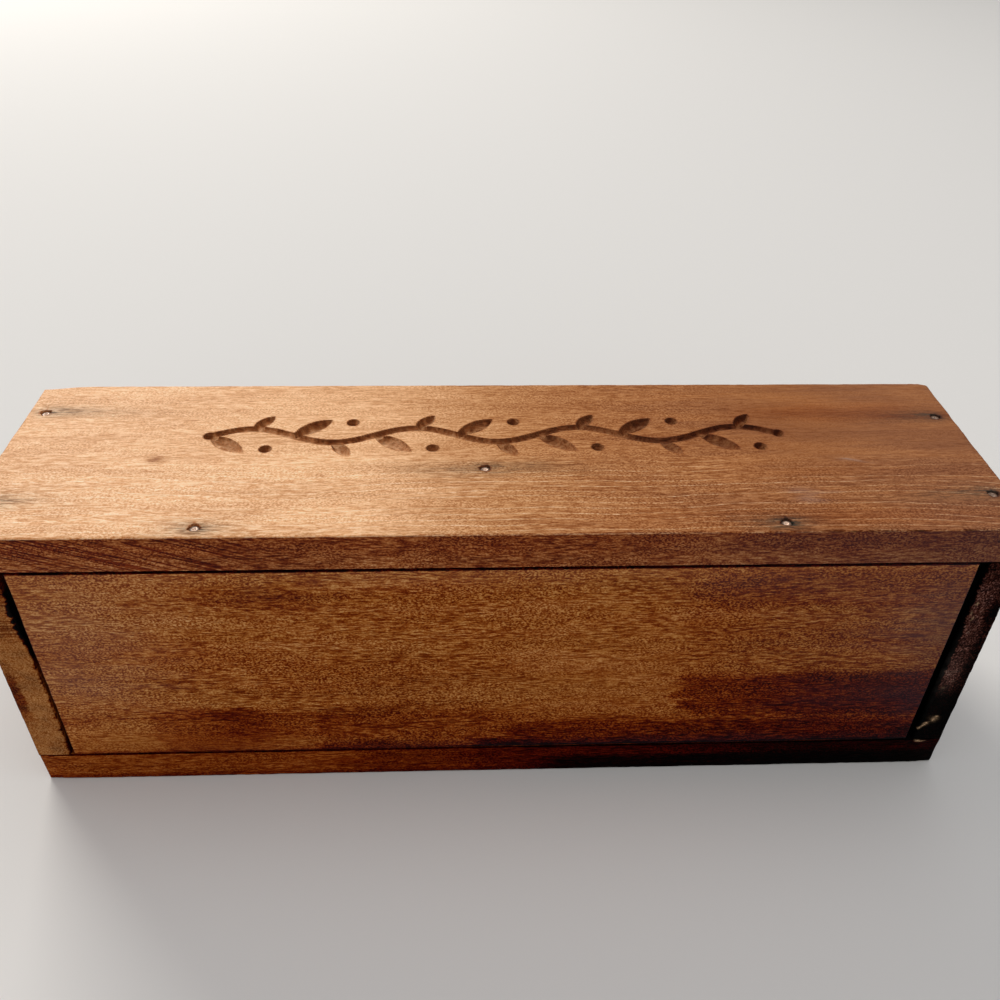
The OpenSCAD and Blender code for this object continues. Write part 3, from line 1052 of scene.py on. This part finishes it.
# %% The bottom board
BOTTOM_STRIPS = [
    (57.5, 150, 46.5, 78, 0.05), (57.5, 150, 34.5, 46.5, 0.34), (80, 150, 36, 46, 0.14),
    (60, 150, 26.5, 34.5, 0.42), (88, 150, 27, 35, 0.18), (4, 150, 16.5, 24.8, 0.37),
    (80, 150, 16.5, 26.5, 0.14), (-8, 150, 8, 16.5, 0.75), (-64, -8, 8, 16, 0.24),
    (-58, 8, 8, 31.5, 0.16), (-90, -58, 20, 31.5, 0.16), (-112, -76, 8, 34, 0.12),
    (-98, -78, 29, 34.5, 0.10), (-112, 8, 28.5, 35, 0.07), (8, 57, 24.5, 28, 0.14),
    (8, 57, 28, 34.5, 0.06), (60, 150, 76, 90, 0.12), (136.5, 150, 8, 20, 0.6),
]
BOTTOM_POOLS = [
    (-70, 81.5, 16, 4.2, 0.15), (-20, 85, 16, 2.4, 0.06), (-95, 57, 45, 6, 0.06),
    (-50, 46, 26, 6, 0.06), (-128, 29.5, 20, 0.7, 0.16), (-45, 14, 18, 2.5, 0.12),
    (98, 28.5, 26, 1.6, -0.16), (100, 20, 60, 3, 0.12), (-25, 79, 34, 5, 0.06),
    (68, 83, 12, 3.5, 0.10), (120, 61, 26, 4, 0.06), (132, 36, 14, 8, 0.08), (-25, 68, 30, 6, 0.03),
]
BOTTOM_TONE = [
    (42, 38, 16, 7, 0.04), (-115, 76, 32, 18, 0.10), (-120, 40, 22, 6, 0.06),
    (0, 89, 150, 4, 0.05), (46, 58, 14, 9, 0.05), (35, 66, 18, 9, 0.03),
]
BOTTOM_COOL = [
    (118, 66, 46, 30, 0.26), (100, 85, 44, 7, 0.16), (141, 66, 13, 34, 0.36),
    (122, 34, 26, 10, 0.24), (138, 30, 9, 9, 0.25), (-128, 66, 22, 24, 0.06), (60, 14, 120, 3, 0.2),
    (-68, 81, 18, 4.5, 0.12),
]
BOTTOM_HAZE = [
    (-130, 66, 24, 30, 0.08), (-20, 92, 130, 5, 0.05), (-130, 46, 16, 8, 0.05),
    (134, 72, 20, 22, 0.07), (80, 86, 30, 7, 0.03),
]
SEAM_HIGH = 13.8 * MM


def bottom_shape(points, normals):
    """Wears the bottom board and pools its stain."""
    points = chipped(points, normals, 0.2, 5, 61)
    to_x, to_y, to_z = normals.T
    near = to_y < -LEANING
    x, z = points[near, 0], points[near, 2]
    marks = blank_marks(points)
    marks.soak[:] = 0.1
    marks.soak[near] = pools(x, z, BOTTOM_POOLS, 62) + strips(x, z, BOTTOM_STRIPS, 69)
    marks.soak[near] += 0.03 * clouds(x, z, 30, 6, 66)
    marks.tone[near] += pools(x, z, BOTTOM_TONE, 64)
    marks.cool[near] = pools(x, z, BOTTOM_COOL, 68)
    marks.dust[near] = pools(x, z, BOTTOM_HAZE, 67) * (to_z[near] < LEANING)
    smooth = hump(x, -105, 42) * hump(z, 17, 9)
    golden = hump(x, 32, 30) * hump(z, 46, 22)
    marks.coarse[near] = 0.2 - 0.6 * smooth - 0.3 * golden
    # Painted shade in the seams and gaps: the panel's face just above the lower seam, most on the right,
    # its upper and lower edges, and its ends beside the end boards are darkened through the stain value.
    painted_seam_shade = 1 - ease_in(z + 0.5 * MM * drift(x, 4, 63), SEAM_HIGH - 0.5 * MM, SEAM_HIGH + 0.5 * MM)
    marks.soak[near] += painted_seam_shade * (0.2 + 1.3 * rise(x, -30, 15))
    marks.soak[np.abs(to_z) > LEANING] += 1.1
    ends = np.abs(to_x) > LEANING
    marks.soak[ends] = np.where(points[:, 0] > 0, 3, 1)[ends]
    return points, marks


BOTTOM_SHADES = [(0.14, 0.025, 0.0025), (0.330, 0.091, 0.0128), (0.56, 0.215, 0.060)]
bottom_wood = wood(
    "bottom_stain", "x", shades=BOTTOM_SHADES, heart=(230, 60), ring=6.0,
    fleck=1.0, glint=0.42, gloss=0.5, level=0.02,
)
board(
    "bottom_board", "bottom_board_stained", bottom_wood, "x", bottom_shape,
    under=[3 * MM], over=[3 * MM], sides=[1 * MM], along=[1.4 * MM],
)

# %% [markdown]
# The end boards and the divider have their fibres running from the bottom of the box to its
# mouth, so the narrow faces towards the camera are sawn end grain. The end boards were cut
# roughly: the edge beside the bottom board is torn, and is black along a band.

# %% The end boards and the divider
RIGHT_CHIPS = [
    (142.7, 18.6, 0.5, 0.4, 0.9), (143.5, 19.5, 0.5, 0.4, 1.0), (144.3, 20.4, 0.5, 0.4, 0.9),
    (145.1, 21.3, 0.6, 0.4, 0.9), (146.5, 23.2, 1.5, 0.9, 0.35), (147.6, 24.2, 0.5, 0.4, 0.9),
    (145.9, 22.8, 0.5, 0.35, 0.9), (142.9, 72.6, 0.35, 0.9, 0.4), (144.6, 70.0, 0.3, 0.7, 0.5),
    (143.6, 76.2, 0.35, 0.4, 0.5), (145.2, 38.5, 0.7, 0.4, 0.25),
]
INNER_FACE = 142.0
SWELL_HIGH, SWELL_HALF = 36 * MM, 40 * MM
LEFT_SWELL, RIGHT_SWELL = 0.85 * MM, 0.2 * MM
TORN_DEEP = 0.4 * MM


def left_stain(outward, z, mottle, fray):
    """How deep the dye sank into the left end grain, and how wide its black torn edge is."""
    flecks = ease_in(outward + 0.9 * mottle, 6.8, 8.6) * hump(z, 42, 9)
    soak = 0.06 * mottle + 0.36 * rise(z, 79, 87) + 0.5 * flecks
    upper = hump(z, 75, 8)
    return soak, 0.1 + 1.0 * upper + (0.2 + 0.45 * upper) * fray


def right_stain(outward, z, mottle, fray):
    """The same for the right end grain, which is nearly black in its lower half."""
    low = rise(-z + 2 * MM * mottle, -42, -29)
    dark_rim = 0.15 + 0.35 * hump(z, 50, 9) + 0.5 * hump(z, 72, 5)
    soak = 0.75 * low + dark_rim * ease_in(outward + 0.8 * mottle, 5.4, 8.2)
    soak += 0.2 * rise(z, 84, 88)
    return soak, 0.3 + 0.9 * rise(-z, -70, -64) + 0.35 * fray


def end_shape(side, seed):
    """The shaping of an end board: side is -1 for the left board and 1 for the right one."""

    def shape(points, normals):
        """Tears the inner edge of the end grain, lets the board swell, and stains it."""
        points = chipped(points, normals, 0.3, 5, seed)
        to_x, to_y, _ = normals.T
        z = points[:, 2].copy()
        inner = (-side * to_x > LEANING) & (to_y < 0.9)
        near = to_y < -LEANING
        middle = 1 - ((z - SWELL_HIGH) / SWELL_HALF) ** 2
        swell = (LEFT_SWELL if side < 0 else RIGHT_SWELL) * np.clip(middle, 0, 1)
        close = rise(-points[:, 1], 0, 35)
        points[inner, 0] -= side * (swell * close)[inner]
        torn = np.clip(drift(z, 1.3, seed + 3) + 0.35, 0, 1)
        points[inner & near, 0] += side * (TORN_DEEP * torn)[inner & near]

        marks = blank_marks(points)
        x = points[:, 0]
        outward = (side * x + swell) / MM - INNER_FACE
        fray = 0.7 * drift(z, 1.1, seed + 5) + 0.9 * drift(z, 0.45, seed + 6)
        mottle = clouds(x, z, 2.5, 1.6, seed + 7) + 0.6 * clouds(x, z, 1, 0.7, seed + 8)
        stain = left_stain if side < 0 else right_stain
        soak, band = stain(outward, z, mottle, fray)
        black = 1 - ease_in(outward, band - 0.45, band + 0.45)
        if side < 0:
            marks.tone[near] += (0.10 * clouds(x, z, 5, 3, seed + 9) + 0.06 * mottle)[near]
            marks.saw[near] = 0.7 * rise(z, 55, 75)[near]
        else:
            olive = hump(z, 47, 11) * bell(outward - 3.5, 3.5)
            marks.tone[near] += (0.24 * mottle + 0.04 * olive - 0.12)[near]
            marks.dust[near] = (0.035 * olive * (1 + 0.6 * mottle))[near]
            chip = spots_of(x, z, RIGHT_CHIPS)
            marks.worn[near] = np.clip(chip, 0, 0.85)[near]
            marks.saw[near] = 0.2
        marks.soak[:] = 0.15
        marks.soak[near] = (np.clip(soak, 0, None) + 2.5 * black)[near]
        marks.coarse[near] = 0.3
        # Painted shade in the gap: the inner face beside the bottom board, seen only through the gap, is
        # darkened through the stain value; on the left most from about 60 to 85 mm up and low down.
        beside = rise(-points[:, 1], 26, 30)
        if side < 0:
            gap_shade_height = rise(z, 52, 68) - 0.85 * rise(z, 82, 87)
            beside = beside * (0.05 + 0.95 * gap_shade_height + 0.2 * rise(-z, -22, -16))
        marks.soak[inner & ~near] = 0.15 + (3 * beside)[inner & ~near]
        return points, marks

    return shape


def upright(node, name, finish, slot, shape):
    """An end board or the divider: its plan carried up from the back board to the front one."""
    near_edge = corners_of(node)[0][1]
    board(
        node, name, finish, "z", shape, under=[0.3 * MM], over=[1.5 * MM],
        sides=[3 * MM, (near_edge, near_edge + 6 * MM, 1 * MM)], along=[0.35 * MM],
    )


LEFT_SHADES = [(0.07, 0.018, 0.005), (0.34, 0.130, 0.034), (0.58, 0.27, 0.085)]
RIGHT_SHADES = [(0.012, 0.003, 0.003), (0.070, 0.021, 0.014), (0.20, 0.13, 0.10)]
DIVIDER_SHADES = [(0.12, 0.040, 0.012), (0.32, 0.13, 0.040), (0.52, 0.27, 0.10)]
left_wood = wood(
    "left_end_stain", "y", shades=LEFT_SHADES, heart=(60, 260), ring=5.0,
    fleck=0.5, glint=0.2, gloss=0.6, level=0.03,
)
right_wood = wood(
    "right_end_stain", "y", shades=RIGHT_SHADES, heart=(-60, 260), ring=5.0,
    fleck=0.9, glint=0.5, gloss=0.55, level=0.01,
)
divider_wood = wood(
    "divider_stain", "y", shades=DIVIDER_SHADES, heart=(80, -160), ring=4.0,
    fleck=0.45, glint=0.3, gloss=0.55, level=0.1,
)


def divider_shape(points, normals):
    """Wears the divider's edges a little."""
    return chipped(points, normals, 0.2, 6, 91), blank_marks(points)


upright("left_end", "left_end_rough", left_wood, "end_wood", end_shape(-1, 71))
upright("right_end", "right_end_rough", right_wood, "end_wood", end_shape(1, 81))
upright("divider", "divider_sawn", divider_wood, "divider_wood", divider_shape)

# %% [markdown]
# A finishing nail is a shape turned on its axis: a dimpled head, a taper, a shank and a
# point. The profile is a list of radius and depth pairs, carried round a circle. A Screw
# modifier would turn it too, but worked out here, the nails of one joint go into one mesh
# and each leans on its own: a hammer never hits quite square, so each tilts by up to 2.5
# degrees about the middle of its head.

# %% The nails
NAIL_SIDES = 28
GRIME_AND_RIM_SHADE = (0.20, 0.12, 0.08, 1)
STEEL = (0.86, 0.60, 0.44, 1)
RIGHT_GRIME = 0.45
MOST_TILT = 2.5
NAIL_PROFILE = [
    (0.0, -0.42), (0.25, -0.40), (0.5, -0.10), (0.62, -0.02), (1.0, 0.0), (1.3, -0.05),
    (1.43, -0.2), (1.45, -0.5), (1.42, -1.15), (1.2, -1.5), (0.92, -1.95), (0.9, -2.2),
    (0.9, -12.0), (0.9, -24.0), (0.9, -35.0), (0.45, -36.6), (0.2, -37.9), (0.0, -38.0),
]


def nail_surface(place, upward, tilt, heading):
    """The points and faces of one nail, its head at place and its point in the wood, and how
    dark its head is painted: dirt, and painted shade towards the rim.
    """
    radius, depth = (np.array(column) * MM for column in zip(*NAIL_PROFILE))
    angle = np.linspace(0, 2 * math.pi, NAIL_SIDES, endpoint=False)
    ring = np.stack([np.cos(angle), np.sin(angle)], 1)
    inner = radius[1:-1, None, None] * ring[None]
    body = np.dstack([inner, np.broadcast_to(depth[1:-1, None], inner.shape[:2])]).reshape(-1, 3)
    points = np.concatenate([[(0, 0, depth[0])], body, [(0, 0, depth[-1])]])
    lean = Matrix.Rotation(heading, 3, "Z") @ Matrix.Rotation(tilt, 3, "X")
    if not upward:
        lean = Matrix.Rotation(math.pi, 3, "X") @ lean
    points = points @ np.array(lean).T + place
    rows = len(radius) - 2
    index = 1 + np.arange(rows * NAIL_SIDES).reshape(rows, NAIL_SIDES)
    turned = np.roll(index, -1, axis=1)
    faces = np.stack([index[:-1], index[1:], turned[1:], turned[:-1]], -1).reshape(-1, 4).tolist()
    faces += [(0, int(a), int(b)) for a, b in zip(index[0], turned[0])]
    last = len(points) - 1
    faces += [(last, int(b), int(a)) for a, b in zip(index[-1], turned[-1])]
    # Dirt and painted shade: the head darkens towards its rim, where it sits in the hole.
    grime_and_shade = ease_in(radius[1:-1], 0.6 * MM, 1.2 * MM).repeat(NAIL_SIDES)
    return points, faces, np.concatenate([[0], grime_and_shade, [0]])


def nail_steel():
    """Dull steel, darker towards the rim of the head with dirt and painted shade, and rusty in places.
    """
    made, tree, shader, place = new_finish("nail_steel")
    patch = streaks(place, (0.7, 0.7, 0.7), 4.0, 0.7)
    grime_and_shade = put(tree, "ShaderNodeAttribute", attribute_name="grime_and_shade").outputs["Fac"]
    dull = maths("SUBTRACT", patch, times(grime_and_shade, 0.3))
    bare = between(dull, 0.34, 0.50)
    feed(shader, {
        "Base Color": blended(bare, GRIME_AND_RIM_SHADE, STEEL), "Metallic": times(bare, 0.3),
        "Roughness": between(patch, 0.35, 0.6, 0.6, 0.36), "Normal": bumps(patch, 0.5, 0.05 * MM),
    })
    return made


steel = nail_steel()
chance = np.random.default_rng(2024)
for group in FRONT_NAILS + BACK_NAILS:
    upward = group in FRONT_NAILS
    spots, level = nail_places(group, upward)
    all_points, all_faces, all_grime_and_shade, start = [], [], [], 0
    for spot in spots:
        points, faces, grime_and_shade = nail_surface(
            np.array([*spot, level]), upward,
            math.radians(chance.uniform(0, MOST_TILT)), chance.uniform(0, 2 * math.pi),
        )
        all_points.append(points)
        all_grime_and_shade.append(grime_and_shade + RIGHT_GRIME * rise(spot[0], 100, 130))
        all_faces += [tuple(start + i for i in face) for face in faces]
        start += len(points)
    marks = {"grime_and_shade": np.concatenate(all_grime_and_shade)}
    nails = mesh_object(group + "_steel", np.concatenate(all_points), all_faces, marks)
    stand_for(nails, group, steel)
    print(f"{group}: {len(spots)} nails")

# %% [markdown]
# Wear and carving only take wood away, so the finished box is as big as the imported one.
